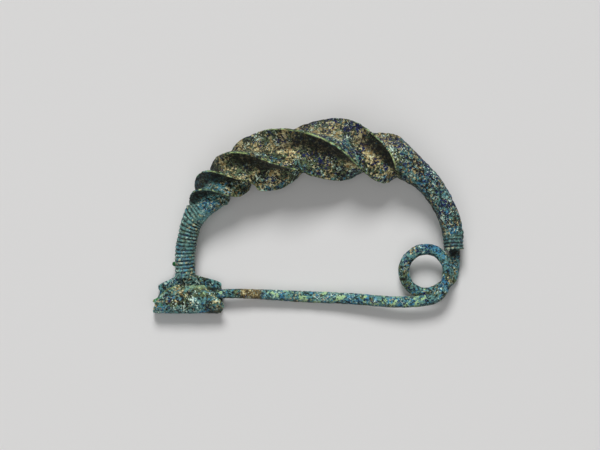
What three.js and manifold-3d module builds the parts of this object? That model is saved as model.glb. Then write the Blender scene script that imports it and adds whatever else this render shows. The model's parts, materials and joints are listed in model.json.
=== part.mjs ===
// A bronze safety-pin brooch (fibula) with a twisted, fluted bow, made in one piece.
//
// A ringed stem rises from a catch-plate whose lower edge is folded up into a gutter. The stem
// swells into a bar with four flutes twisted round it, which arches over and narrows again to a
// ringed end. There the bronze is drawn out into a wire. It makes one turn and a quarter of a
// spring and runs back as the pin, whose point lies in the gutter.
//
// The brooch's own frame has its origin at the foot of the stem. X runs along the pin towards the
// spring, Y rises to the crown of the bow, and Z leaves the bow's plane on the side of the flap.
// Once made, the brooch is laid down as it comes to rest on a table, with +Z up.
// Lengths are in millimetres and angles in radians.

import * as THREE from "three";
import { mergeVertices } from "three/addons/utils/BufferGeometryUtils.js";
import Module from "manifold-3d";

// Driving sizes of the bow
const BOW_SPAN = 68.7; // stem axis to the axis of the bow's spring end
const BOW_RISE = 33; // foot of the stem to the crown of the bow's axis
const BOW_D = 16; // over the rims where the bow is thickest
const STEM_D = 5.3;
const END_D = 5.1; // the bow's end at the spring
const FLUTE_DEPTH = 3.9; // below the rims where the bow is thickest
const RIM_T = 0.8; // thickness of the rim between two flutes
const FLUTE_FACET = 1.25; // length of the facets along the flutes
const LEG_FACET = 2.4; // and along the smooth leg
const RING_PITCH = 0.94;
const RING_DEPTH = 0.26;
const END_RING_PITCH = 0.9;
const END_RING_DEPTH = 0.2;

// Driving sizes of the spring and the pin
const WIRE_D = 2.8;
const EYE_D = 8.45; // clear eye of the spring
const TURN_GAP = 0.3; // air between the spring's turns
const END_GAP = 0.3; // air between the coil and the bow's end
const PIN_D = 2.9; // where the pin is thickest, past the spring
const PIN_NECK_D = 2.4; // where the pin enters the gutter
const PIN_POINT_D = 0.7;

// Driving sizes of the catch-plate
const PLATE_T = 0.9;
const PLATE_DROP = 9.3; // foot of the stem to the lowest edge of the gutter
const PLATE_L = 18; // along the pin
const GUTTER_W = 2.9; // clear width between the plate and its flap
const FLAP_H = 7.1; // from the lowest edge to the flap's lip
const LIP_SET_IN = 0.35; // the flap leans back over the gutter by this
const PLATE_BACK = 1.05; // middle of the plate's thickness behind the bow's plane
const PLATE_TOP = 0.7; // the sheet starts this far up inside the foot
const POINT_INSET = 2.7; // the pin's point stops short of the gutter's far end by this
const POINT_HEIGHT = 3.3; // and lies this far above the gutter's floor

const TURN = 2 * Math.PI;
const QUARTER = Math.PI / 2;
const FLUTES = 4;
const X = new THREE.Vector3(1, 0, 0);
const Y = new THREE.Vector3(0, 1, 0);
const Z = new THREE.Vector3(0, 0, 1);

const lerp = THREE.MathUtils.lerp;
const smooth = THREE.MathUtils.smoothstep; // smooth(value, low, high)
const point = (x, y, z) => new THREE.Vector3(x, y, z);
const countTo = (count, make) => Array.from({ length: count }, (_, i) => make(i));

// A smooth curve through a table's rows: returns the row of values at place u, where row n is u = n.
function along(table, u) {
  const n = Math.min(Math.max(Math.floor(u), 0), table.length - 2);
  const t = THREE.MathUtils.clamp(u - n, 0, 1);
  const row = (k) => table[THREE.MathUtils.clamp(k, 0, table.length - 1)];
  return table[0].map((_, column) => {
    const [before, from, to, after] = [n - 1, n, n + 1, n + 2].map((k) => row(k)[column]);
    const bend = 2 * before - 5 * from + 4 * to - after;
    const swing = 3 * from - before - 3 * to + after;
    return from + (t * (to - before + t * (bend + t * swing))) / 2;
  });
}

// A closed solid through rings with the same number of points, each end capped from its middle.
function loft(rings) {
  const count = rings[0].length;
  const middle = (ring) => ring.reduce((sum, p) => sum.add(p), point(0, 0, 0)).divideScalar(count);
  const points = [...rings.flat(), middle(rings[0]), middle(rings.at(-1))];
  const [firstMiddle, lastMiddle] = [points.length - 2, points.length - 1];
  const lastRing = rings.length - 1;
  const at = (i, j) => i * count + (j % count);
  const faces = [];
  for (let j = 0; j < count; j++) {
    for (let i = 0; i < lastRing; i++) {
      faces.push(at(i, j), at(i + 1, j + 1), at(i + 1, j));
      faces.push(at(i, j), at(i, j + 1), at(i + 1, j + 1));
    }
    faces.push(firstMiddle, at(0, j + 1), at(0, j));
    faces.push(lastMiddle, at(lastRing, j), at(lastRing, j + 1));
  }
  const coordinates = points.flatMap((p) => p.toArray());
  return new THREE.BufferGeometry()
    .setAttribute("position", new THREE.Float32BufferAttribute(coordinates, 3))
    .setIndex(faces);
}

// The bow's axis, its radius over the rims and its twist, from the foot to the spring end.
// The columns are x as a share of BOW_SPAN, y as a share of BOW_RISE, radius in millimetres,
// and the twist in quarter turns.
const CROWN_R = BOW_D / 2;
const STEM_R = STEM_D / 2;
const END_R = END_D / 2;
const BOW = [
  [0, -0.012, STEM_R * 0.99, 0],
  [-0.001, 0.186, STEM_R, 0],
  [0.015, 0.368, STEM_R * 1.01, 0],
  [0.034, 0.469, STEM_R * 1.12, 0.2],
  [0.06, 0.558, STEM_R * 1.38, 1],
  [0.099, 0.671, CROWN_R * 0.66, 2],
  [0.164, 0.78, CROWN_R * 0.735, 3],
  [0.229, 0.872, CROWN_R * 0.86, 3.7],
  [0.308, 0.904, CROWN_R * 0.965, 4.03],
  [0.438, 0.984, CROWN_R * 0.955, 4.58],
  [0.576, 0.988, CROWN_R, 5],
  [0.677, 0.966, CROWN_R * 0.87, 5.5],
  [0.76, 0.915, CROWN_R * 0.81, 5.9],
  [0.807, 0.88, CROWN_R * 0.61, 6.4],
  [0.852, 0.826, CROWN_R * 0.46, 6.7],
  [0.912, 0.714, END_R * 1.22, 6.9],
  [0.962, 0.551, END_R * 1.11, 7],
  [0.991, 0.396, END_R * 1.05, 7],
  [1, 0.209, END_R * 1.01, 7],
];
const BOW_END = BOW.length - 1;
// Each flute opens and dies away at its own twist, so that its rim stands as a lip there.
const FLUTE_OPENS = [2.4, 0.45, 1, 1.7];
const FLUTE_DIES = [6.5, 6.75, 6.2, 5.8];
const OPENING = 0.35; // the twist over which a flute reaches its depth
const DYING = 0.6;
const NEAR_STEM_DEEPER = 1.15; // the flutes are deeper for their radius near the stem
const NEAR_STEM = [2.5, 4]; // the twist over which that ends
const FLUTE_FULLNESS = 0.65; // the lower, the steeper the flutes' sides
const FLUTE_SKEW = 1.2; // above 1, the flutes are deepest nearer their outer rim
const STEM_RINGS = [0.12, 3.9]; // the places in the table between which the stem is ringed
const END_RINGS = 17.35; // the place from which the spring end is ringed
const SMOOTH_LEG = 14; // the place from which the bow has no flutes

function bowAt(u) {
  const [x, y, radius, twist] = along(BOW, u);
  return { at: point(x * BOW_SPAN, y * BOW_RISE, 0), radius, twist };
}

// Places on the bow's table at even steps of its length, from one place up to another.
function evenPlaces(from, to, step) {
  const samples = countTo(401, (i) => lerp(from, to, i / 400));
  const run = [0];
  for (let i = 1; i < samples.length; i++)
    run.push(run[i - 1] + bowAt(samples[i]).at.distanceTo(bowAt(samples[i - 1]).at));
  const steps = Math.max(1, Math.round(run.at(-1) / step));
  return countTo(steps, (k) => {
    const wanted = (k / steps) * run.at(-1);
    const i = Math.max(1, run.findIndex((length) => length >= wanted));
    return lerp(samples[i - 1], samples[i], (wanted - run[i - 1]) / (run[i] - run[i - 1]));
  });
}

// Angles from one rim to the next, with points close together at the rims.
const FLUTE_POINTS = [0.13, 0.32, 0.5, 0.68, 0.87];

function bowRing(u, ringCut = 0) {
  const { at, radius, twist } = bowAt(u);
  const nudge = 0.01;
  const ahead = bowAt(u + nudge).at.sub(bowAt(u - nudge).at).normalize();
  const outward = point(-ahead.y, ahead.x, 0);
  const halfRim = Math.min(RIM_T / 2 / radius, QUARTER / 8);
  const points = [];
  for (let flute = 0; flute < FLUTES; flute++) {
    const opened = smooth(twist, FLUTE_OPENS[flute], FLUTE_OPENS[flute] + OPENING);
    const alive = 1 - smooth(twist, FLUTE_DIES[flute] - DYING, FLUTE_DIES[flute]);
    const deeper = lerp(NEAR_STEM_DEEPER, 1, smooth(twist, ...NEAR_STEM));
    const depth = (FLUTE_DEPTH / CROWN_R) * deeper * opened * alive;
    for (const share of [0, ...FLUTE_POINTS, 1]) {
      const angle = QUARTER * (flute - twist) + lerp(halfRim, QUARTER - halfRim, share);
      const hollow = Math.pow(Math.sin(Math.PI * Math.pow(share, FLUTE_SKEW)), FLUTE_FULLNESS);
      const r = radius * (1 - depth * hollow) - ringCut;
      const across = outward.clone().multiplyScalar(r * Math.sin(angle));
      points.push(at.clone().add(across).addScaledVector(Z, r * Math.cos(angle)));
    }
  }
  return points;
}

function bow() {
  const rings = [];
  const ringed = evenPlaces(...STEM_RINGS, RING_PITCH / 2);
  const fluted = evenPlaces(STEM_RINGS[1], SMOOTH_LEG, FLUTE_FACET);
  const leg = evenPlaces(SMOOTH_LEG, END_RINGS, LEG_FACET);
  const ringedEnd = evenPlaces(END_RINGS, BOW_END, END_RING_PITCH / 2);
  rings.push(bowRing(0));
  ringed.forEach((u, i) => rings.push(bowRing(u, i % 2 ? RING_DEPTH : 0)));
  [...fluted, ...leg].forEach((u) => rings.push(bowRing(u)));
  ringedEnd.forEach((u, i) => rings.push(bowRing(u, i % 2 ? END_RING_DEPTH : 0)));
  rings.push(bowRing(BOW_END));
  return loft(rings.reverse());
}

// The spring: the wire leaves the bow's end at the back of the coil, goes once round behind the
// pin's own quarter turn, and comes to the front as it goes, so the turns lie side by side.
const WIRE_R = WIRE_D / 2;
const COIL_R = (EYE_D + WIRE_D) / 2;
const END_CORNER = Math.PI * 0.265; // direction from the coil to the corner of the bow's end
const clearOfEnd = COIL_R + WIRE_R + END_GAP;
const COIL_AT = bowAt(BOW_END)
  .at.add(point(-END_R * 0.88, 0, 0))
  .add(point(-clearOfEnd * Math.cos(END_CORNER), -clearOfEnd * Math.sin(END_CORNER), 0));
const COIL_SWEEP = TURN * 1.25;
const FORWARD_TURNS = 1.12; // the coil comes forward over this many turns
const SWING_IN = BOW_SPAN - COIL_AT.x - COIL_R; // out of round, where the wire leaves the bow
const SWING_OUT = WIRE_D * 0.62; // and where it leaves for the pin
const PITCH = WIRE_D + TURN_GAP;

function coilPoint(turned) {
  const entering = SWING_IN * (1 - smooth(turned, 0, 0.9));
  const leaving = SWING_OUT * smooth(turned, TURN + 0.2, COIL_SWEEP);
  const r = COIL_R + entering + leaving;
  const z = PITCH * (Math.min(turned / TURN, FORWARD_TURNS) - 0.5);
  return COIL_AT.clone().add(point(r * Math.cos(turned), -r * Math.sin(turned), z));
}

// The plate and its gutter lie behind and before the pin's point.
const GUTTER_R = (GUTTER_W + PLATE_T) / 2;
const PIN_POINT = point(
  POINT_INSET - PLATE_L / 2,
  PLATE_T + POINT_HEIGHT - PLATE_DROP,
  GUTTER_R - PLATE_BACK,
);
// The pin's bends: share of the way from its point to the spring, and how many pin thicknesses it
// rises and sinks to the back there.
const PIN_BENDS = [
  [0.91, 0, 0.1],
  [0.76, 0.185, 0.42],
  [0.61, 0.245, 0.62],
  [0.46, 0.355, 0.52],
  [0.36, 0.435, 0.36],
  [0.27, 0.41, 0.16],
  [0.13, 0.15, 0.03],
  [0, 0, 0],
];

function wirePath() {
  const bowEnd = bowAt(BOW_END).at;
  const start = [
    bowEnd.clone().add(point(0, END_R, -PITCH * 0.2)),
    bowEnd.clone().add(point(WIRE_R * 0.2, -WIRE_R, -PITCH * 0.42)),
  ];
  const turns = countTo(41, (i) => coilPoint((i / 40) * COIL_SWEEP));
  const springEnd = turns.at(-1).clone().add(point(-WIRE_D * 1.5, -WIRE_R * 0.34, 0));
  const pin = PIN_BENDS.map(([share, rise, sink]) =>
    PIN_POINT.clone().lerp(springEnd, share).add(point(0, rise * PIN_D, -sink * PIN_D)),
  );
  return new THREE.CatmullRomCurve3([...start, ...turns, springEnd, ...pin], false, "centripetal");
}

// The wire's thickness at a place on its path: the pin is a little thicker than the coil.
function wireThickness(at) {
  if (at.y > PIN_POINT.y + PIN_D / 2 || at.x > COIL_AT.x) return WIRE_D;
  const pastSpring = smooth(COIL_AT.x - at.x, 0, COIL_R * 2);
  const nearPlate = 1 - smooth(at.x, PLATE_L * 0.6, BOW_SPAN * 0.5);
  const inGutter = 1 - smooth(at.x, PIN_POINT.x, PLATE_L * 0.5);
  return lerp(lerp(lerp(WIRE_D, PIN_D, pastSpring), PIN_NECK_D, nearPlate), PIN_POINT_D, inGutter);
}

function wire() {
  const path = wirePath();
  const steps = 84;
  const sides = 10;
  const rings = countTo(steps + 1, (i) => {
    const share = i / steps;
    const at = path.getPointAt(share);
    const ahead = path.getTangentAt(share);
    const side = point(0, 0, 0).crossVectors(ahead, Z).normalize();
    const up = point(0, 0, 0).crossVectors(side, ahead);
    const d = wireThickness(at);
    return countTo(sides, (k) => {
      const angle = (k / sides) * TURN;
      const across = side.clone().multiplyScalar((d / 2) * Math.cos(angle));
      return at.clone().add(across).addScaledVector(up, (d / 2) * Math.sin(angle));
    });
  });
  return loft(rings.reverse());
}

// The catch-plate is one sheet that hangs from the foot, turns forward at the bottom and comes up
// again as the flap. Its outline is a table along the sheet: how far down the sheet as a share of
// its length, and the left and right edge as shares of PLATE_L.
const SHEET = [
  [0, -0.12, 0.14],
  [0.04, -0.16, 0.25],
  [0.1, -0.29, 0.45],
  [0.15, -0.37, 0.5],
  [0.19, -0.395, 0.52],
  [0.26, -0.365, 0.535],
  [0.39, -0.42, 0.53],
  [0.52, -0.45, 0.52],
  [0.6, -0.43, 0.505],
  [0.67, -0.455, 0.54],
  [0.74, -0.43, 0.545],
  [0.8, -0.455, 0.5],
  [0.855, -0.36, 0.43],
  [0.9, -0.325, 0.375],
  [0.95, -0.265, 0.325],
  [1, -0.17, 0.27],
];

function sheetAt(share) {
  const back = PLATE_DROP + PLATE_TOP - GUTTER_R - PLATE_T / 2;
  const fold = Math.PI * GUTTER_R;
  const front = FLAP_H - GUTTER_R - PLATE_T / 2;
  const run = share * (back + fold + front);
  if (run < back) return { at: point(0, PLATE_TOP - run, -PLATE_BACK), out: Z.clone().negate() };
  const low = PLATE_TOP - back;
  if (run < back + fold) {
    const angle = (run - back) / GUTTER_R;
    const out = point(0, -Math.sin(angle), -Math.cos(angle));
    return { at: point(0, low, GUTTER_R - PLATE_BACK).addScaledVector(out, GUTTER_R), out };
  }
  const up = run - back - fold;
  const lean = LIP_SET_IN * smooth(up, 0, front);
  return { at: point(0, low + up, 2 * GUTTER_R - PLATE_BACK - lean), out: Z.clone() };
}

function catchPlate() {
  const across = 6;
  const steps = 26;
  const rings = countTo(steps + 1, (i) => {
    const share = i / steps;
    const row = SHEET.findLastIndex(([place]) => place <= share);
    const next = SHEET[Math.min(row + 1, SHEET.length - 1)];
    const u = row + (share - SHEET[row][0]) / Math.max(next[0] - SHEET[row][0], 1e-6);
    const [, left, right] = along(SHEET, Math.min(u, SHEET.length - 1));
    const { at, out } = sheetAt(share);
    const edge = (side, k) =>
      at
        .clone()
        .addScaledVector(X, PLATE_L * lerp(left, right, k / across))
        .addScaledVector(out, (side * PLATE_T) / 2);
    return [
      ...countTo(across + 1, (k) => edge(1, k)),
      ...countTo(across + 1, (k) => edge(-1, across - k)),
    ];
  });
  return loft(rings);
}

// The foot, where the round stem flattens out into the plate.
function foot() {
  // Height, half width, half depth and place along Z of each section, in stem radii
  const rows = [
    [0.83, 0.85, 0.85, 0],
    [0.26, 0.97, 0.97, 0],
    [-0.08, 1.08, 0.9, -0.045],
    [-0.45, 1.4, 0.72, -0.13],
    [-0.91, 1.8, 0.48, -0.23],
    [-1.43, 2.1, 0.15, -0.34],
  ];
  const sides = 20;
  return loft(
    rows.map(([y, halfWidth, halfDepth, z]) =>
      countTo(sides, (k) => {
        const angle = (k / sides) * TURN;
        const section = point(halfWidth * Math.cos(angle), y, z + halfDepth * Math.sin(angle));
        return section.multiplyScalar(STEM_R);
      }),
    ),
  );
}

const wasm = await Module();
wasm.setup();

function solid(geometry) {
  const merged = mergeVertices(geometry, 1e-4);
  return new wasm.Manifold(
    new wasm.Mesh({
      numProp: 3,
      vertProperties: merged.attributes.position.array,
      triVerts: new Uint32Array(merged.index.array),
    }),
  );
}

const joined = [bow(), wire(), catchPlate(), foot()].map(solid).reduce((sum, piece) => sum.add(piece));
const mesh = joined.getMesh();
const brooch = new THREE.BufferGeometry()
  .setAttribute("position", new THREE.Float32BufferAttribute(mesh.vertProperties, 3))
  .setIndex(new THREE.BufferAttribute(mesh.triVerts, 1));

// The centre of mass of a closed mesh, from the tetrahedra between its triangles and the origin.
function centreOfMass(points, index) {
  const centre = point(0, 0, 0);
  let volume = 0;
  for (let i = 0; i < index.length; i += 3) {
    const [a, b, c] = [points[index[i]], points[index[i + 1]], points[index[i + 2]]];
    const part = a.dot(point(0, 0, 0).crossVectors(b, c));
    volume += part;
    centre.addScaledVector(a, part / 4).addScaledVector(b, part / 4).addScaledVector(c, part / 4);
  }
  return centre.divideScalar(volume);
}

// Which way is up when the brooch lies at rest on its back: the tilt near Z that brings its centre
// of mass lowest over the table.
function upAtRest(points, centre) {
  const height = (up) => centre.dot(up) - Math.min(...points.map((p) => p.dot(up)));
  const directions = 24;
  let up = Z.clone();
  let lowest = height(up);
  for (let step = 0.1; step > 1e-7; step /= 2) {
    let improved = true;
    while (improved) {
      improved = false;
      for (let k = 0; k < directions; k++) {
        const angle = (k / directions) * TURN;
        const tried = up.clone().add(point(step * Math.cos(angle), step * Math.sin(angle), 0));
        const found = height(tried.normalize());
        if (found < lowest - 1e-9) {
          up = tried;
          lowest = found;
          improved = true;
        }
      }
    }
  }
  return up;
}

function layDown(geometry) {
  const position = geometry.attributes.position;
  const points = countTo(position.count, (i) => point(0, 0, 0).fromBufferAttribute(position, i));
  const up = upAtRest(points, centreOfMass(points, geometry.index.array));
  geometry.applyQuaternion(new THREE.Quaternion().setFromUnitVectors(up, Z));
  geometry.computeBoundingBox();
  const { min, max } = geometry.boundingBox;
  geometry.translate(-(min.x + max.x) / 2, -(min.y + max.y) / 2, -min.z);
}
layDown(brooch);

const patina = new THREE.MeshStandardMaterial({ color: 0x4a625b, roughness: 0.85, metalness: 0.1 });
const fibula = new THREE.Mesh(brooch, patina);
fibula.name = "fibula";
const group = new THREE.Group();
group.add(fibula);
export default group;
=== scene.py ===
"""A bronze safety-pin brooch with a twisted, fluted bow, lying on a pale table.

The shapes are modelled in the brooch's own frame, in millimetres: its origin is the foot of the
stem, X runs along the pin towards the spring, Y rises to the crown of the bow, and Z leaves the
bow's plane towards the viewer. laid_down() then gives the place where the brooch lies.
"""

import json

import bmesh
import bpy
import numpy as np
from mathutils import Matrix, Vector, noise


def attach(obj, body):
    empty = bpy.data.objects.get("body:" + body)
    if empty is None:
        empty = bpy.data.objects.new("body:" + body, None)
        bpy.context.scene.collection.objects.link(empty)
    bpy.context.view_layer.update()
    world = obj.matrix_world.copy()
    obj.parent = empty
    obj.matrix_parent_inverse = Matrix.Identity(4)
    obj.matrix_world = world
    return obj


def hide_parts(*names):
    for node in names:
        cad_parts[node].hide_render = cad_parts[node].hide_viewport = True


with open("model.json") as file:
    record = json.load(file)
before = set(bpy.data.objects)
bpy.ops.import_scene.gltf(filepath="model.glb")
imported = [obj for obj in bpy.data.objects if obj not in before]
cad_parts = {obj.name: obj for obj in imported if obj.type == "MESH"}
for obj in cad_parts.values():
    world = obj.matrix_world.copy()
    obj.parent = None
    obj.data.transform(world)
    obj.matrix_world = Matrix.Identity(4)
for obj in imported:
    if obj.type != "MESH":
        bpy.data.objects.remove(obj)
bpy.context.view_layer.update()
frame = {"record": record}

# Sizes of the brooch, as in the solids
BOW_SPAN = 68.7
BOW_RISE = 33
BOW_D = 16
STEM_D = 5.3
END_D = 5.1
FLUTE_DEPTH = 3.9
RIM_T = 0.8
RING_PITCH = 0.94
RING_DEPTH = 0.26
END_RING_PITCH = 0.9
END_RING_DEPTH = 0.2
WIRE_D = 2.8
EYE_D = 8.45
TURN_GAP = 0.3
END_GAP = 0.3
PIN_D = 2.9
PIN_NECK_D = 2.4
PIN_POINT_D = 0.7
PLATE_T = 0.9
PLATE_DROP = 9.3
PLATE_L = 18
GUTTER_W = 2.9
FLAP_H = 7.1
LIP_SET_IN = 0.35
PLATE_BACK = 1.05
PLATE_TOP = 0.7
POINT_INSET = 2.7
POINT_HEIGHT = 3.3

TURN = 2 * np.pi
QUARTER = np.pi / 2
FLUTES = 4
MM = 0.001


def smooth(value, low, high):
    t = np.clip((value - low) / (high - low), 0, 1)
    return t * t * (3 - 2 * t)


def mix(a, b, share):
    return a + (b - a) * share


def along(table, u):
    """Rows of a table at places u on a smooth curve through them, where row n is u = n."""
    table = np.asarray(table, float)
    u = np.atleast_1d(u)
    n = np.clip(np.floor(u).astype(int), 0, len(table) - 2)
    t = np.clip(u - n, 0, 1)[:, None]
    before, start, end, after = (
        table[np.clip(n + k, 0, len(table) - 1)] for k in (-1, 0, 1, 2)
    )
    bend = 2 * before - 5 * start + 4 * end - after
    swing = 3 * start - before - 3 * end + after
    return start + t * (end - before + t * (bend + t * swing)) / 2


def noise_at(points, size, octaves=3, seed=0.0):
    """Fractal noise from about -1 to 1 with lumps of a size in millimetres."""
    shift = Vector((seed * 17.3, seed * 5.1, -seed * 9.7))
    return np.array(
        [noise.fractal(Vector(p) / size + shift, 1.0, 2.0, octaves) for p in points]
    )


# The bow: its axis, its radius over the rims and its twist in quarter turns, as in the solids
CROWN_R = BOW_D / 2
STEM_R = STEM_D / 2
END_R = END_D / 2
BOW = [
    (0, -0.012, STEM_R * 0.99, 0),
    (-0.001, 0.186, STEM_R, 0),
    (0.015, 0.368, STEM_R * 1.01, 0),
    (0.034, 0.469, STEM_R * 1.12, 0.2),
    (0.06, 0.558, STEM_R * 1.38, 1),
    (0.099, 0.671, CROWN_R * 0.66, 2),
    (0.164, 0.78, CROWN_R * 0.735, 3),
    (0.229, 0.872, CROWN_R * 0.86, 3.7),
    (0.308, 0.904, CROWN_R * 0.965, 4.03),
    (0.438, 0.984, CROWN_R * 0.955, 4.58),
    (0.576, 0.988, CROWN_R, 5),
    (0.677, 0.966, CROWN_R * 0.87, 5.5),
    (0.76, 0.915, CROWN_R * 0.81, 5.9),
    (0.807, 0.88, CROWN_R * 0.61, 6.4),
    (0.852, 0.826, CROWN_R * 0.46, 6.7),
    (0.912, 0.714, END_R * 1.22, 6.9),
    (0.962, 0.551, END_R * 1.11, 7),
    (0.991, 0.396, END_R * 1.05, 7),
    (1, 0.209, END_R * 1.01, 7),
]
BOW_END = len(BOW) - 1
ALONG_STEPS = 400
FLUTE_OPENS = (2.4, 0.45, 1, 1.7)
FLUTE_DIES = (6.5, 6.75, 6.2, 5.8)
OPENING = 0.35
DYING = 0.6
NEAR_STEM_DEEPER = 1.15
NEAR_STEM = (2.5, 4)
FLUTE_FULLNESS = 0.65
FLUTE_SKEW = 1.2
STEM_RINGS = (0.12, 3.9)
END_RINGS = 17.35
SMOOTH_LEG = 14


def bow_at(u):
    x, y, radius, twist = along(BOW, u).T
    centre = np.stack([x * BOW_SPAN, y * BOW_RISE, 0 * x], 1)
    return centre, radius, twist


def even_places(start, stop, step):
    """Places on the bow's table at even steps of its length, and the length run so far at each."""
    u = np.linspace(start, stop, ALONG_STEPS)
    run = np.concatenate([[0], np.cumsum(np.linalg.norm(np.diff(bow_at(u)[0], axis=0), axis=1))])
    wanted = np.linspace(0, run[-1], max(2, round(run[-1] / step)), endpoint=False)
    return np.interp(wanted, run, u), wanted


RING_STEPS = 8
TWIST_STEP = 0.27
LEG_STEP = 0.3
# Stretches of the bow: from and to which place, the step between rows, and the rings' pitch and
# depth, where there are rings
STRETCHES = [
    (*STEM_RINGS, RING_PITCH / RING_STEPS, RING_PITCH, RING_DEPTH),
    (STEM_RINGS[1], SMOOTH_LEG, TWIST_STEP, 1, 0),
    (SMOOTH_LEG, END_RINGS, LEG_STEP, 1, 0),
    (END_RINGS, BOW_END, END_RING_PITCH / RING_STEPS, END_RING_PITCH, END_RING_DEPTH),
]
FLUTE_STEPS = 30
RIM_STEPS = 3
RIM_CROWN = 0.015
RING_LEAN = (-0.2, 1.2)
RING_LEAN_BACK = 0.3
RING_ROUNDNESS = 0.85
RING_WEAR_SIZE = 2.2

# Where the patina and the painted shade change along the bow, as places on its table, and up each
# flute, as shares
CRUST_STARTS = (5.2, 6.3)
CRUST_THINS = (13.4, 15)
CALM_ENDS = (4.8, 6.2)
TOP_LIT_AND_NAVY = (5.4, 6.2)
NAVY_STARTS = (8, 9.5)
NAVY_THINS = (15, 17)
LEG_SHADED = (12.5, 14)
LOW_EDGE = (0.12, 0.4)
DARK_SIDE = (0.4, 0.82)


def ring_lines(u, run, pitch, angle):
    """1 in the narrow lines between the rounded rings, which lean more as the stem flares."""
    on_stem = (u < SMOOTH_LEG)[:, None]
    lean = mix(*RING_LEAN, smooth(u, 1.2, 3.4)[:, None]) * on_stem * np.sin(angle)
    lean = lean - RING_LEAN_BACK * np.cos(angle)
    turned = np.pi * (run[:, None] - lean) / pitch[:, None]
    line = 1 - np.abs(np.cos(turned)) ** RING_ROUNDNESS
    started = smooth(run, 0, 0.4)[:, None]
    inner_flare = smooth(u, 2.5, 3.3)[:, None] * smooth(-np.sin(angle), -0.4, 0.5) * on_stem
    return line * started * (1 - inner_flare)


def bow_rows():
    """Place and length run of each row along the bow, and the pitch and depth of its rings."""
    rows = [(np.zeros(1), np.zeros(1), 1, 0)]
    for start, stop, step, pitch, depth in STRETCHES:
        rows.append((*even_places(start, stop, step), pitch, depth))
    rows.append((np.full(1, float(BOW_END)), np.zeros(1), 1, 0))
    u = np.concatenate([places for places, _, _, _ in rows])
    run = np.concatenate([lengths for _, lengths, _, _ in rows])
    pitch = np.concatenate([np.full(len(places), pitch) for places, _, pitch, _ in rows])
    depth = np.concatenate([np.full(len(places), depth) for places, _, _, depth in rows])
    return u, run, pitch, depth


def flute_columns(radius, twist):
    """Round each row: angle, how hollow, how much of a rim, and the share up the flute."""
    half_rim = np.minimum(RIM_T / 2 / radius, QUARTER / 8)
    deeper = mix(NEAR_STEM_DEEPER, 1, smooth(twist, *NEAR_STEM))
    shares = (1 - np.cos(np.linspace(0, np.pi, FLUTE_STEPS))) / 2
    none = np.zeros(len(twist))
    columns = []
    for flute in range(FLUTES):
        opened = smooth(twist, FLUTE_OPENS[flute], FLUTE_OPENS[flute] + OPENING)
        alive = 1 - smooth(twist, FLUTE_DIES[flute] - DYING, FLUTE_DIES[flute])
        cut = opened * alive
        depth = FLUTE_DEPTH / CROWN_R * deeper * cut
        start = QUARTER * (flute - twist)
        for share in shares:
            angle = start + mix(half_rim, QUARTER - half_rim, share)
            hollow = depth * np.sin(np.pi * share**FLUTE_SKEW) ** FLUTE_FULLNESS
            columns.append((angle, hollow, none, cut * share))
        for step in range(1, RIM_STEPS + 1):
            across = step / (RIM_STEPS + 1)
            angle = start + QUARTER + mix(-half_rim, half_rim, across)
            crown = cut * np.sin(np.pi * across)
            columns.append((angle, -RIM_CROWN * crown, crown, none))
    return [np.stack(column, 1) for column in zip(*columns)]


def bow_marks(u, angle, rim, up_flute, ringed, lines):
    """What the patina, the painted shade and the painted highlights need to know of each point of
    the bow.
    """
    everywhere = np.ones(angle.shape)
    crusted = (smooth(u, *CRUST_STARTS) * mix(1, 0.35, smooth(u, *CRUST_THINS)))[:, None]
    navy = (smooth(u, *NAVY_STARTS) * mix(1, 0.5, smooth(u, *NAVY_THINS)))[:, None]
    low_edge = 1 - smooth(up_flute, *LOW_EDGE)
    # Outer tops of the crown and leg, which face the light: more navy specks, and less painted shade
    # in their flutes
    lit_top_and_navy = smooth(np.sin(angle), 0.35, 0.9) * smooth(u, *TOP_LIT_AND_NAVY)[:, None]
    # Painted shade: the flute walls under each rim and the lower side of the leg are darkened
    hollow_shade = smooth(up_flute, *DARK_SIDE) * (1 - 0.75 * lit_top_and_navy)
    leg_underside_shade = 0.6 * smooth(u, *LEG_SHADED)[:, None] * smooth(-np.sin(angle), 0.45, 1)
    return {
        "buff": mix(0.2, 1, crusted) * mix(1, 0.55, low_edge * crusted),
        "blue": mix(1, 0.45 * low_edge, crusted),
        "green": 0.4 * crusted * everywhere,
        "pale": mix(0.5, 0.3, crusted) * everywhere,
        "calm": (1 - smooth(u, *CALM_ENDS))[:, None] * everywhere,
        "dark": np.maximum(hollow_shade, leg_underside_shade),
        # The rims: chipped in corrode, and given a painted highlight in the material
        "rim": rim**3,
        "navy": navy + 0.7 * lit_top_and_navy,
        "ringed": ringed[:, None] * everywhere,
        "cut": np.clip(lines, 0, 1),
    }


def bow_grid():
    """Points of the bow, row by row, and their marks."""
    u, run, pitch, ring_depth = bow_rows()
    centre, radius, twist = bow_at(u)
    ahead = bow_at(u + 0.01)[0] - bow_at(u - 0.01)[0]
    ahead /= np.linalg.norm(ahead, axis=1)[:, None]
    outward = np.stack([-ahead[:, 1], ahead[:, 0], 0 * u], 1)

    angle, hollow, rim, up_flute = flute_columns(radius, twist)
    across = outward[:, None] * np.sin(angle)[..., None] + [0, 0, 1] * np.cos(angle)[..., None]
    r = radius[:, None] * (1 - hollow)
    surface = centre[:, None] + across * r[..., None]

    ringed = ring_depth > 0
    wear = noise_at(surface[ringed].reshape(-1, 3), RING_WEAR_SIZE, 2, 9)
    worn = np.ones(r.shape)
    worn[ringed] = 1.05 + 0.6 * wear.reshape(-1, r.shape[1])
    lines = ring_lines(u, run, pitch, angle) * np.clip(worn, 0.3, 1.4) * ringed[:, None]
    points = surface - across * (lines * ring_depth[:, None])[..., None]
    return points, bow_marks(u, angle, rim, up_flute, ringed, lines)


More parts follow.
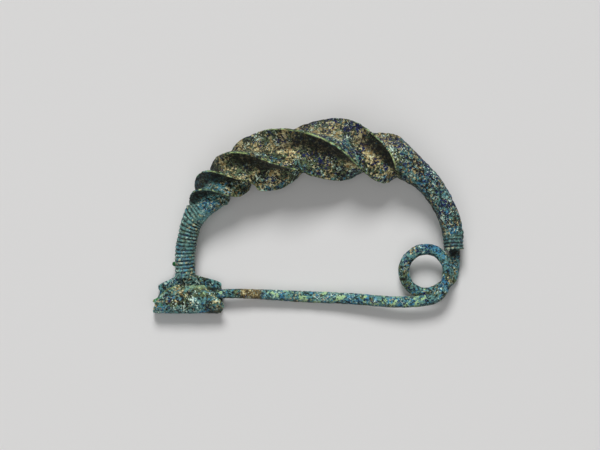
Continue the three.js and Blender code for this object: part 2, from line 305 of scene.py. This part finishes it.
def centripetal(points, per_span):
    """A smooth curve through points, with the knots spaced by the root of each span."""
    points = np.asarray(points, float)
    first = 2 * points[0] - points[1]
    last = 2 * points[-1] - points[-2]
    full = np.vstack([first, points, last])
    curve = []
    for k in range(1, len(full) - 2):
        p = full[k - 1 : k + 3]
        knots = np.concatenate([[0], np.cumsum(np.linalg.norm(np.diff(p, axis=0), axis=1) ** 0.5)])
        t = np.linspace(knots[1], knots[2], per_span, endpoint=False)[:, None]

        def blend(a, b, i, j):
            return ((knots[j] - t) * a + (t - knots[i]) * b) / (knots[j] - knots[i])

        a = [blend(p[i], p[i + 1], i, i + 1) for i in range(3)]
        b = [blend(a[i], a[i + 1], i, i + 2) for i in range(2)]
        curve.append(blend(b[0], b[1], 1, 2))
    return np.vstack([*curve, points[-1:]])


# The spring and the pin
WIRE_R = WIRE_D / 2
COIL_R = (EYE_D + WIRE_D) / 2
END_CORNER = np.pi * 0.265
CLEAR_OF_END = COIL_R + WIRE_R + END_GAP
BOW_END_AT = bow_at(BOW_END)[0][0]
COIL_AT = BOW_END_AT - [
    END_R * 0.88 + CLEAR_OF_END * np.cos(END_CORNER),
    CLEAR_OF_END * np.sin(END_CORNER),
    0,
]
COIL_SWEEP = TURN * 1.25
FORWARD_TURNS = 1.12
SWING_IN = BOW_SPAN - COIL_AT[0] - COIL_R
SWING_OUT = WIRE_D * 0.62
PITCH = WIRE_D + TURN_GAP
GUTTER_R = (GUTTER_W + PLATE_T) / 2
PIN_POINT = np.array(
    [POINT_INSET - PLATE_L / 2, PLATE_T + POINT_HEIGHT - PLATE_DROP, GUTTER_R - PLATE_BACK]
)
PIN_BENDS = [
    (0.91, 0, 0.1),
    (0.76, 0.185, 0.42),
    (0.61, 0.245, 0.62),
    (0.46, 0.355, 0.52),
    (0.36, 0.435, 0.36),
    (0.27, 0.41, 0.16),
    (0.13, 0.15, 0.03),
    (0, 0, 0),
]
WIRE_SIDES = 30
WIRE_STEP = 0.3
COIL_POINTS = 41
SPAN_STEPS = 40
BROWN_PATCH_STARTS = (13.6, 14.6)
BROWN_PATCH_ENDS = (18.6, 20)


def coil_point(turned):
    entering = SWING_IN * (1 - smooth(turned, 0, 0.9))
    leaving = SWING_OUT * smooth(turned, TURN + 0.2, COIL_SWEEP)
    r = COIL_R + entering + leaving
    z = PITCH * (min(turned / TURN, FORWARD_TURNS) - 0.5)
    return COIL_AT + [r * np.cos(turned), -r * np.sin(turned), z]


def wire_path():
    """Points at even steps along the middle of the wire, and the length run so far at each."""
    start = [
        BOW_END_AT + [0, END_R, -PITCH * 0.2],
        BOW_END_AT + [WIRE_R * 0.2, -WIRE_R, -PITCH * 0.42],
    ]
    turns = [coil_point(turned) for turned in np.linspace(0, COIL_SWEEP, COIL_POINTS)]
    spring_end = turns[-1] + [-WIRE_D * 1.5, -WIRE_R * 0.34, 0]
    pin = [
        mix(PIN_POINT, spring_end, share) + [0, rise * PIN_D, -sink * PIN_D]
        for share, rise, sink in PIN_BENDS
    ]
    rough_path = centripetal([*start, *turns, spring_end, *pin], SPAN_STEPS)
    run = np.concatenate([[0], np.cumsum(np.linalg.norm(np.diff(rough_path, axis=0), axis=1))])
    even = np.linspace(0, run[-1], round(run[-1] / WIRE_STEP))
    return np.stack([np.interp(even, run, column) for column in rough_path.T], 1), even


def wire_grid():
    """Points of the spring and the pin, ring by ring, and their marks."""
    path, run = wire_path()
    ahead = np.gradient(path, axis=0)
    ahead /= np.linalg.norm(ahead, axis=1)[:, None]
    side = np.cross(ahead, [0, 0, 1])
    side /= np.linalg.norm(side, axis=1)[:, None]
    up = np.cross(side, ahead)

    x = path[:, 0]
    on_pin = (path[:, 1] <= PIN_POINT[1] + PIN_D / 2) & (x <= COIL_AT[0])
    past_spring = smooth(COIL_AT[0] - x, 0, COIL_R * 2)
    near_plate = 1 - smooth(x, PLATE_L * 0.6, BOW_SPAN * 0.5)
    in_gutter = 1 - smooth(x, PIN_POINT[0], PLATE_L * 0.5)
    pin_d = mix(mix(WIRE_D, PIN_D, past_spring), PIN_NECK_D, near_plate)
    pin_d = mix(pin_d, PIN_POINT_D, in_gutter)
    r = np.where(on_pin, pin_d, WIRE_D) / 2
    angle = np.linspace(0, TURN, WIRE_SIDES, endpoint=False)
    outward = side[:, None] * np.cos(angle)[:, None] + up[:, None] * np.sin(angle)[:, None]
    points = path[:, None] + outward * r[:, None, None]
    # Painted shade on the lower side of the wire and pin
    underside_shade = 0.6 * smooth(-outward[..., 1], 0.35, 1)
    brown_patch = on_pin * smooth(x, *BROWN_PATCH_STARTS) * (1 - smooth(x, *BROWN_PATCH_ENDS))
    # Painted shadow where the wire leaves the bow's end
    under_bow_shade = 1 - smooth(run, END_R + 0.8, END_R + 2.6)
    everywhere = np.ones(points.shape[:2])
    marks = {
        "buff": mix(0.1, 0.4, brown_patch)[:, None] * everywhere,
        "brown": brown_patch[:, None] * everywhere,
        "blue": mix(1, 0, brown_patch)[:, None] * everywhere,
        "pale": mix(mix(0.45, 1, on_pin), 0.3, brown_patch)[:, None] * everywhere,
        "calm": everywhere,
        "dark": np.maximum(under_bow_shade[:, None], underside_shade),
    }
    return points, marks


# The catch-plate: a sheet that hangs from the foot, folds forward and comes up again as the flap
SHEET = [
    (0, -0.12, 0.14),
    (0.04, -0.16, 0.25),
    (0.1, -0.29, 0.45),
    (0.15, -0.37, 0.5),
    (0.19, -0.395, 0.52),
    (0.26, -0.365, 0.535),
    (0.39, -0.42, 0.53),
    (0.52, -0.45, 0.52),
    (0.6, -0.43, 0.505),
    (0.67, -0.455, 0.54),
    (0.74, -0.43, 0.545),
    (0.8, -0.455, 0.5),
    (0.855, -0.36, 0.43),
    (0.9, -0.325, 0.375),
    (0.95, -0.265, 0.325),
    (1, -0.17, 0.27),
]
SHEET_BACK = PLATE_DROP + PLATE_TOP - GUTTER_R - PLATE_T / 2
SHEET_FOLD = np.pi * GUTTER_R
SHEET_FRONT = FLAP_H - GUTTER_R - PLATE_T / 2
SHEET_L = SHEET_BACK + SHEET_FOLD + SHEET_FRONT
SHEET_ROWS = 84
SHEET_COLUMNS = 46
FLAP_SHARES = (0.62, 0.8)
LIP_SHARES = (0.93, 1)
FLAP_BULGE = 0.45
THIN_EDGE = 0.6
SIDE_NICKS = (1.3, 0.4)
LIP_NICKS = (1.6, 0.35)


def sheet_middle(run):
    """The middle of the sheet's thickness and its outward direction, down the plate, up the flap."""
    angle = np.clip((run - SHEET_BACK) / GUTTER_R, 0, np.pi)
    out = np.stack([0 * run, -np.sin(angle), -np.cos(angle)], 1)
    down = np.clip(run, 0, SHEET_BACK)
    up = np.clip(run - SHEET_BACK - SHEET_FOLD, 0, SHEET_FRONT)
    lean = LIP_SET_IN * smooth(up, 0, SHEET_FRONT)
    middle = np.stack([0 * run, PLATE_TOP - down + up, GUTTER_R - PLATE_BACK - lean], 1)
    return middle + out * GUTTER_R, out


def nicks(run, size, depth, seed):
    """How far a ragged edge stands out at each place along it."""
    return depth * noise_at(np.stack([run, 0 * run, 0 * run], 1), size, 3, seed)


def catch_grid():
    """Points of the catch-plate, round each section of the sheet, and their marks."""
    run = np.linspace(0, SHEET_L, SHEET_ROWS)
    share = run / SHEET_L
    places = np.array([row[0] for row in SHEET])
    _, left, right = along(SHEET, np.interp(share, places, np.arange(len(SHEET)))).T
    left = left * PLATE_L + nicks(run, *SIDE_NICKS, 11)
    right = right * PLATE_L + nicks(run, *SIDE_NICKS, 12)
    middle, out = sheet_middle(run)

    across = np.linspace(0, 1, SHEET_COLUMNS)
    k = np.concatenate([across, across[::-1]])
    side = np.repeat([1.0, -1.0], SHEET_COLUMNS)
    x = mix(left[:, None], right[:, None], k)
    front = smooth(share, *FLAP_SHARES)[:, None]
    lip = smooth(share, *LIP_SHARES)[:, None]
    at_side = smooth(np.abs(2 * k - 1), 0.86, 1)
    thickness = PLATE_T * mix(1, THIN_EDGE, np.maximum(lip, at_side))
    offset = side * thickness / 2 + FLAP_BULGE * np.sin(np.pi * k) * front
    points = middle[:, None] + out[:, None] * offset[..., None]
    points[..., 0] += x
    points[..., 1] += lip * nicks(x.ravel(), *LIP_NICKS, 13).reshape(x.shape)
    outer = side > 0
    everywhere = np.ones(x.shape)
    marks = {
        "buff": front * mix(0.6, 0.35, smooth(points[..., 1], -8, -4)),
        "blue": mix(1, 0.6, front) * everywhere,
        "calm": mix(1, 0.8, front) * everywhere,
        "green": front * smooth(-x, 1.5, 6.5),
        "pale": 0.6 * front * everywhere,
        # Painted shade on the back leaf by the gutter's right end, which also lands on the plate's
        # outer back
        "dark": (1 - front) * smooth(x, 4.5, 6.5) * smooth(-points[..., 1], 2.2, 3.2),
        # Painted highlight along the flap's lip and the sheet's side edges
        "rim": np.maximum(lip, at_side * 0.4) * outer * 0.45,
    }
    return points, marks


# Height, half width, half depth and place along Z of each section of the foot, in stem radii
FOOT = [
    (0.83, 0.85, 0.85, 0),
    (0.26, 0.97, 0.97, 0),
    (-0.08, 1.08, 0.9, -0.045),
    (-0.45, 1.4, 0.72, -0.13),
    (-0.91, 1.8, 0.48, -0.23),
    (-1.43, 2.1, 0.15, -0.34),
]
FOOT_ROWS = 26
FOOT_SIDES = 64


def foot_grid():
    """Points of the foot between stem and catch-plate, ring by ring, and their marks."""
    rows = along(FOOT, np.linspace(0, len(FOOT) - 1, FOOT_ROWS)) * STEM_R
    y, half_width, half_depth, z = (column[:, None] for column in rows.T)
    angle = np.linspace(0, TURN, FOOT_SIDES, endpoint=False)
    points = np.stack(
        [half_width * np.cos(angle), y + 0 * angle, z + half_depth * np.sin(angle)], 2
    )
    everywhere = np.ones(points.shape[:2])
    return points, {"blue": everywhere, "pale": 0.4 * everywhere, "calm": everywhere}


# Lumps of corrosion that swell the outline: their middles, their radii and how green they are
LUMPS = [
    ((-2.8, 3.35, 0.3), 0.6, 2),
    ((70.15, 11.4, 0.3), 1.1, 0),
    ((70.2, 10.3, 0.3), 1.05, 0),
    ((70.1, 9.2, 0.3), 1.0, 0),
]
LUMP_RINGS = 8
LUMP_SIDES = 14
LUMP_CAP = 0.25


def lump_grid(centre, radius, green):
    polar = np.linspace(LUMP_CAP, np.pi - LUMP_CAP, LUMP_RINGS)[:, None]
    angle = np.linspace(0, TURN, LUMP_SIDES, endpoint=False)
    ball = np.stack(
        [np.sin(polar) * np.cos(angle), np.sin(polar) * np.sin(angle), np.cos(polar) + 0 * angle], 2
    )
    everywhere = np.ones(ball.shape[:2])
    return np.array(centre) + radius * ball, {"green": green * everywhere, "blue": everywhere}


# What the material is told of each point: where crust, brown, blue, navy, green and pale colours
# gather, where it is calm, where shade is painted, where a rim with its painted highlight is, and
# where rings and the lines between them are
MARKS = ("buff", "brown", "blue", "navy", "green", "pale", "calm", "dark", "rim", "ringed", "cut")


def closed_mesh(name, points, marks):
    """A closed mesh through a grid of rings, with each end capped and the marks as attributes."""
    rings, count = points.shape[:2]
    flat = points.reshape(-1, 3)
    middles = np.stack([points[0].mean(0), points[-1].mean(0)])
    ring, place = np.meshgrid(np.arange(rings - 1), np.arange(count), indexing="ij")
    nearer = ring * count + place
    beside = ring * count + (place + 1) % count
    quads = np.stack([nearer, beside, beside + count, nearer + count], 2).reshape(-1, 4).tolist()
    around = np.arange(count)
    last = (rings - 1) * count
    first_cap = [(rings * count, (k + 1) % count, k) for k in around.tolist()]
    last_cap = [(rings * count + 1, last + k, last + (k + 1) % count) for k in around.tolist()]
    mesh = bpy.data.meshes.new(name)
    mesh.from_pydata(np.vstack([flat, middles]).tolist(), [], quads + first_cap + last_cap)
    for mark in MARKS:
        values = np.zeros(len(flat) + 2)
        if mark in marks:
            values[: len(flat)] = marks[mark].reshape(-1)
        mesh.attributes.new(mark, "FLOAT", "POINT").data.foreach_set("value", values)
    work = bmesh.new()
    work.from_mesh(mesh)
    bmesh.ops.recalc_face_normals(work, faces=work.faces)
    work.to_mesh(mesh)
    work.free()
    return mesh


def values_of(collection, field, per_item=1):
    values = np.empty(len(collection) * per_item)
    collection.foreach_get(field, values)
    return values.reshape(-1, per_item) if per_item > 1 else values


def corrode(mesh, amount, chips=0.0):
    """Pits and lumps along the normals, and chips out of the rims."""
    points = values_of(mesh.vertices, "co", 3)
    normals = values_of(mesh.vertex_normals, "vector", 3)
    rim = values_of(mesh.attributes["rim"].data, "value")
    ringed = values_of(mesh.attributes["ringed"].data, "value")
    lumps = noise_at(points, 2.6, 2, 1) * 0.5
    crust = noise_at(points, 0.9, 3, 2) * 0.6
    pits = np.minimum(noise_at(points, 1.5, 2, 3) + 0.25, 0) * 0.9
    push = amount * (1 - 0.6 * ringed) * (lumps + crust + pits)
    push -= chips * rim * np.maximum(noise_at(points, 1.2, 3, 4) + 0.15, 0) * 1.6
    mesh.vertices.foreach_set("co", (points + normals * push[:, None]).reshape(-1))
    mesh.update()
    return mesh


# The place on the flat back of the catch-plate that the record gives as a mount
PLATE_FACE_AT = (1, -5.2)


def laid_down():
    """The matrix from the brooch's own frame to where it lies, from the flat back of its plate."""
    mount = next(m for m in frame["record"]["mounts"] if m["name"] == "catch_plate_back")
    face = Vector((*PLATE_FACE_AT, -PLATE_BACK - PLATE_T / 2))
    turn = Vector((0, 0, 1)).rotation_difference(-Vector(mount["axis"])).to_matrix()
    place = Vector(mount["pos_m"]) - turn @ face * MM
    return Matrix.Translation(place) @ turn.to_4x4() @ Matrix.Scale(MM, 4)


LAID = laid_down()


SHARP_EDGE = np.radians(50)


def joined(name, meshes):
    """One object out of overlapping closed meshes, laid down."""
    objects = [bpy.data.objects.new(mesh.name, mesh) for mesh in meshes]
    for obj in objects:
        bpy.context.scene.collection.objects.link(obj)
    base = objects[0]
    for other in objects[1:]:
        union = base.modifiers.new("union", "BOOLEAN")
        union.operation = "UNION"
        union.solver = "MANIFOLD"
        union.object = other
    evaluated = base.evaluated_get(bpy.context.evaluated_depsgraph_get())
    mesh = bpy.data.meshes.new_from_object(evaluated)
    for obj in objects:
        bpy.data.objects.remove(obj)
    mesh.name = name
    mesh.transform(LAID)
    mesh.polygons.foreach_set("use_smooth", [True] * len(mesh.polygons))
    mesh.set_sharp_from_angle(angle=SHARP_EDGE)
    whole = bpy.data.objects.new(name, mesh)
    bpy.context.scene.collection.objects.link(whole)
    return whole


def srgb(red, green, blue):
    channels = np.array([red, green, blue]) / 255
    linear = np.where(channels <= 0.04045, channels / 12.92, ((channels + 0.055) / 1.055) ** 2.4)
    return (*linear.tolist(), 1)


class Nodes:
    """Short ways to add the nodes of one material."""

    def __init__(self, name):
        self.material = bpy.data.materials.new(name)
        self.material.use_nodes = True
        self.tree = self.material.node_tree
        self.shader = self.tree.nodes["Principled BSDF"]

    def node(self, kind, **values):
        made = self.tree.nodes.new(kind)
        for key, value in values.items():
            setattr(made, key, value)
        return made

    def put(self, source, socket):
        if hasattr(source, "is_output"):
            self.tree.links.new(source, socket)
        else:
            socket.default_value = source

    def noise(self, size_mm, detail=3.0, rough=0.6, seed=0.0):
        shifted = self.node("ShaderNodeMapping")
        self.put(self.node("ShaderNodeTexCoord").outputs["Object"], shifted.inputs["Vector"])
        shifted.inputs["Location"].default_value = (seed * 0.37, seed * 0.21, seed * 0.13)
        made = self.node("ShaderNodeTexNoise")
        self.put(shifted.outputs[0], made.inputs["Vector"])
        made.inputs["Scale"].default_value = 1 / (size_mm * MM)
        made.inputs["Detail"].default_value = detail
        made.inputs["Roughness"].default_value = rough
        return made.outputs["Fac"]

    def mark(self, name):
        return self.node("ShaderNodeAttribute", attribute_name=name).outputs["Fac"]

    def math(self, operation, a, b=0.0):
        made = self.node("ShaderNodeMath", operation=operation)
        self.put(a, made.inputs[0])
        self.put(b, made.inputs[1])
        return made.outputs[0]

    def step(self, value, low, high):
        made = self.node("ShaderNodeMapRange", interpolation_type="SMOOTHSTEP")
        self.put(value, made.inputs["Value"])
        made.inputs["From Min"].default_value = low
        made.inputs["From Max"].default_value = high
        return made.outputs["Result"]

    def mix(self, share, a, b):
        made = self.node("ShaderNodeMix", data_type="RGBA")
        self.put(share, made.inputs[0])
        self.put(a, made.inputs[6])
        self.put(b, made.inputs[7])
        return made.outputs[2]

    def contrast(self, colour, gamma, gain):
        curved = self.node("ShaderNodeGamma")
        self.put(colour, curved.inputs["Color"])
        curved.inputs["Gamma"].default_value = gamma
        scaled = self.node("ShaderNodeVectorMath", operation="SCALE")
        self.put(curved.outputs[0], scaled.inputs[0])
        scaled.inputs["Scale"].default_value = gain
        return scaled.outputs[0]

    def specks(self, size_mm, level, seed, cluster=0.0, mark=None, reach=0.0):
        """Ragged specks, rarer the higher the level, gathered in clusters and where marked."""
        value = self.noise(size_mm, 4, 0.7, seed=seed)
        if cluster:
            broad = self.noise(size_mm * 5, 2, 0.5, seed=seed + 30)
            shift = self.math("MULTIPLY", self.math("SUBTRACT", broad, 0.5), cluster)
            value = self.math("ADD", value, shift)
        if mark:
            value = self.math("ADD", value, self.math("MULTIPLY", self.mark(mark), reach))
        return self.step(value, level, level + 0.035)


# Layers of specks over the crust, each over the last: what they are, their size in millimetres, the
# noise level that they start from, a seed, how they cluster, the mark that brings them out and how
# far it lowers the level, and their colour
SPECK_LAYERS = [
    ("brown grains", 0.7, 0.72, 14, 0.6, "buff", 0.03, (150, 112, 68)),
    ("navy specks", 0.8, 0.62, 6, 0.5, "navy", 0.06, (18, 36, 98)),
    ("white specks", 0.5, 0.62, 7, 0.5, "calm", 0.015, (214, 236, 222)),
    ("pale patches", 1.8, 0.765, 8, 0.3, "pale", 0.19, (176, 206, 160)),
    ("green patches", 0.7, 0.78, 9, 0.4, "green", 0.26, (40, 118, 66)),
    ("black pits", 0.7, 0.555, 10, 0.35, "calm", -0.025, (5, 7, 7)),
]
# Colours of each ground in its dark and its light grains, and of single features, painted shade and
# highlights among them
OLIVE = ((10, 15, 9), (112, 128, 94))
TEAL = ((8, 30, 36), (116, 164, 160))
AZURE = ((12, 50, 90), (84, 156, 184))
BROWN = ((56, 50, 32), (146, 126, 86))
CRUST = ((164, 144, 98), (220, 212, 168))
PAINTED_SHADE = (13, 14, 9)
RIM_HIGHLIGHT = (192, 212, 152)
RING_CREST_HIGHLIGHT = (118, 156, 146)
RING_LINE_SHADE = (4, 12, 12)
GAMMA = 1.22
GAIN = 1.35
BUMP_MM = 0.5


def patina():
    """Corroded bronze: olive and teal ground, buff crust, navy, pale, green and black specks, with
    painted shade and highlights.
    """
    n = Nodes("bronze_patina")

    def grained(share, dark_and_light):
        dark, light = dark_and_light
        return n.mix(share, srgb(*dark), srgb(*light))

    calm = n.math("MULTIPLY", n.mark("calm"), 0.025)
    grain = n.step(n.math("ADD", n.noise(0.75, 5, 0.75, seed=1), calm), 0.42, 0.6)
    teal = n.specks(2.4, 0.6, 2, 0.6, "blue", 0.2)
    colour = n.mix(teal, grained(grain, OLIVE), grained(grain, TEAL))
    azure = n.specks(1.0, 0.68, 3, 0.6, "blue", 0.13)
    colour = n.mix(azure, colour, grained(grain, AZURE))
    brown = n.math("MULTIPLY", n.mark("brown"), 0.85)
    colour = n.mix(brown, colour, grained(grain, BROWN))
    chalk = n.step(n.noise(0.9, 3, 0.6, seed=4), 0.42, 0.58)
    crust = n.specks(0.75, 0.62, 5, 0.5, "buff", 0.11)
    colour = n.mix(crust, colour, grained(chalk, CRUST))
    for _, *layer, rgb in SPECK_LAYERS:
        colour = n.mix(n.specks(*layer), colour, srgb(*rgb))
    # Painted shade: near black where the dark mark is, with lighter grains still showing through
    shaded = n.math("SUBTRACT", 0.98, n.math("MULTIPLY", grain, 0.25))
    colour = n.mix(n.math("MULTIPLY", n.mark("dark"), shaded), colour, srgb(*PAINTED_SHADE))
    # Painted highlight: a pale, broken line along the bow's rims and the catch-plate's lip and edges
    rim_highlight = n.math("MULTIPLY", n.mark("rim"), n.specks(0.8, 0.44, 12, 0.8))
    colour = n.mix(rim_highlight, colour, srgb(*RIM_HIGHLIGHT))
    # Painted highlight on the crests of the rings and painted shade in the lines between them
    crest_highlight = n.math("MULTIPLY", n.math("SUBTRACT", n.mark("ringed"), n.mark("cut")), 0.33)
    colour = n.mix(crest_highlight, colour, srgb(*RING_CREST_HIGHLIGHT))
    colour = n.mix(n.math("MULTIPLY", n.mark("cut"), 0.95), colour, srgb(*RING_LINE_SHADE))
    n.put(n.contrast(colour, GAMMA, GAIN), n.shader.inputs["Base Color"])
    n.shader.inputs["Metallic"].default_value = 0.0
    n.shader.inputs["Roughness"].default_value = 0.6
    n.shader.inputs["Specular IOR Level"].default_value = 0.4
    bump = n.node("ShaderNodeBump")
    bump.inputs["Distance"].default_value = BUMP_MM * MM
    smoother_rings = n.math("MULTIPLY", n.mark("ringed"), 0.7)
    n.put(n.math("SUBTRACT", 1.0, smoother_rings), bump.inputs["Strength"])
    n.put(n.noise(0.7, 5, 0.7, seed=13), bump.inputs["Height"])
    n.put(bump.outputs[0], n.shader.inputs["Normal"])
    return n.material


# How deep corrosion goes in millimetres, and how strongly the bow's rims are chipped
BOW_CORROSION = 0.22
RIM_CHIPS = 1.0
WIRE_CORROSION = 0.15
PLATE_CORROSION = 0.16
FOOT_CORROSION = 0.12


def brooch():
    meshes = [
        corrode(closed_mesh("bow", *bow_grid()), BOW_CORROSION, RIM_CHIPS),
        corrode(closed_mesh("wire", *wire_grid()), WIRE_CORROSION),
        corrode(closed_mesh("plate", *catch_grid()), PLATE_CORROSION),
        corrode(closed_mesh("foot", *foot_grid()), FOOT_CORROSION),
    ]
    for number, lump in enumerate(LUMPS, 1):
        meshes.append(closed_mesh(f"lump_{number}", *lump_grid(*lump)))
    whole = joined("fibula_bronze", meshes)
    whole.data.materials.clear()
    whole.data.materials.append(patina())
    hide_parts("fibula")
    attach(whole, "root")
    return whole


TABLE_HALF_M = 1.0
TABLE_COLOUR = (0.78, 0.775, 0.77, 1)


def table():
    mesh = bpy.data.meshes.new("table_top")
    square = [(-1, -1), (1, -1), (1, 1), (-1, 1)]
    corners = [(x * TABLE_HALF_M, y * TABLE_HALF_M, 0) for x, y in square]
    mesh.from_pydata(corners, [], [(0, 1, 2, 3)])
    n = Nodes("table_paper")
    n.shader.inputs["Base Color"].default_value = TABLE_COLOUR
    n.shader.inputs["Roughness"].default_value = 0.9
    n.shader.inputs["Specular IOR Level"].default_value = 0.1
    mesh.materials.append(n.material)
    top = bpy.data.objects.new("table_top", mesh)
    bpy.context.scene.collection.objects.link(top)


# The photograph's frame: 600 by 450 pixels at this scale, seen square on to the bow's plane
FRAME_WIDTH_PIXELS = 600
MM_PER_PIXEL = 0.256
STEM_FOOT_PIXEL = (185.5, 277)
FRAME_CENTRE_PIXEL = (300, 225)
LENS_MM = 180
SENSOR_MM = 36
FARTHEST_M = 20


def camera():
    data = bpy.data.cameras.new("camera")
    data.lens = LENS_MM
    data.sensor_width = SENSOR_MM
    data.clip_end = FARTHEST_M
    obj = bpy.data.objects.new("camera", data)
    bpy.context.scene.collection.objects.link(obj)
    x = (FRAME_CENTRE_PIXEL[0] - STEM_FOOT_PIXEL[0]) * MM_PER_PIXEL
    y = (STEM_FOOT_PIXEL[1] - FRAME_CENTRE_PIXEL[1]) * MM_PER_PIXEL
    away = FRAME_WIDTH_PIXELS * MM_PER_PIXEL * LENS_MM / SENSOR_MM
    turn = LAID.to_quaternion().to_matrix().to_4x4()
    obj.matrix_world = Matrix.Translation(LAID @ Vector((x, y, away))) @ turn
    bpy.context.scene.camera = obj


# Lights: name, place and diameter in metres, and power in watts
LIGHTS = [
    ("key", (-0.25, 2.24, 2.64), 1.5, 82.0),
    ("overhead", (-0.1, -0.4, 0.9), 1.0, 2.6),
]
ROOM_LIGHT = 0.16


def area_light(name, place, size, energy):
    data = bpy.data.lights.new(name, "AREA")
    data.shape = "DISK"
    data.size = size
    data.energy = energy
    obj = bpy.data.objects.new(name, data)
    obj.location = place
    obj.rotation_euler = (-Vector(place)).to_track_quat("-Z", "Y").to_euler()
    bpy.context.scene.collection.objects.link(obj)


def lighting():
    for light in LIGHTS:
        area_light(*light)
    world = bpy.data.worlds.new("studio")
    world.use_nodes = True
    background = world.node_tree.nodes["Background"]
    background.inputs["Color"].default_value = (1, 1, 1, 1)
    background.inputs["Strength"].default_value = ROOM_LIGHT
    bpy.context.scene.world = world
    bpy.context.scene.view_settings.view_transform = "Standard"


brooch()
table()
camera()
lighting()
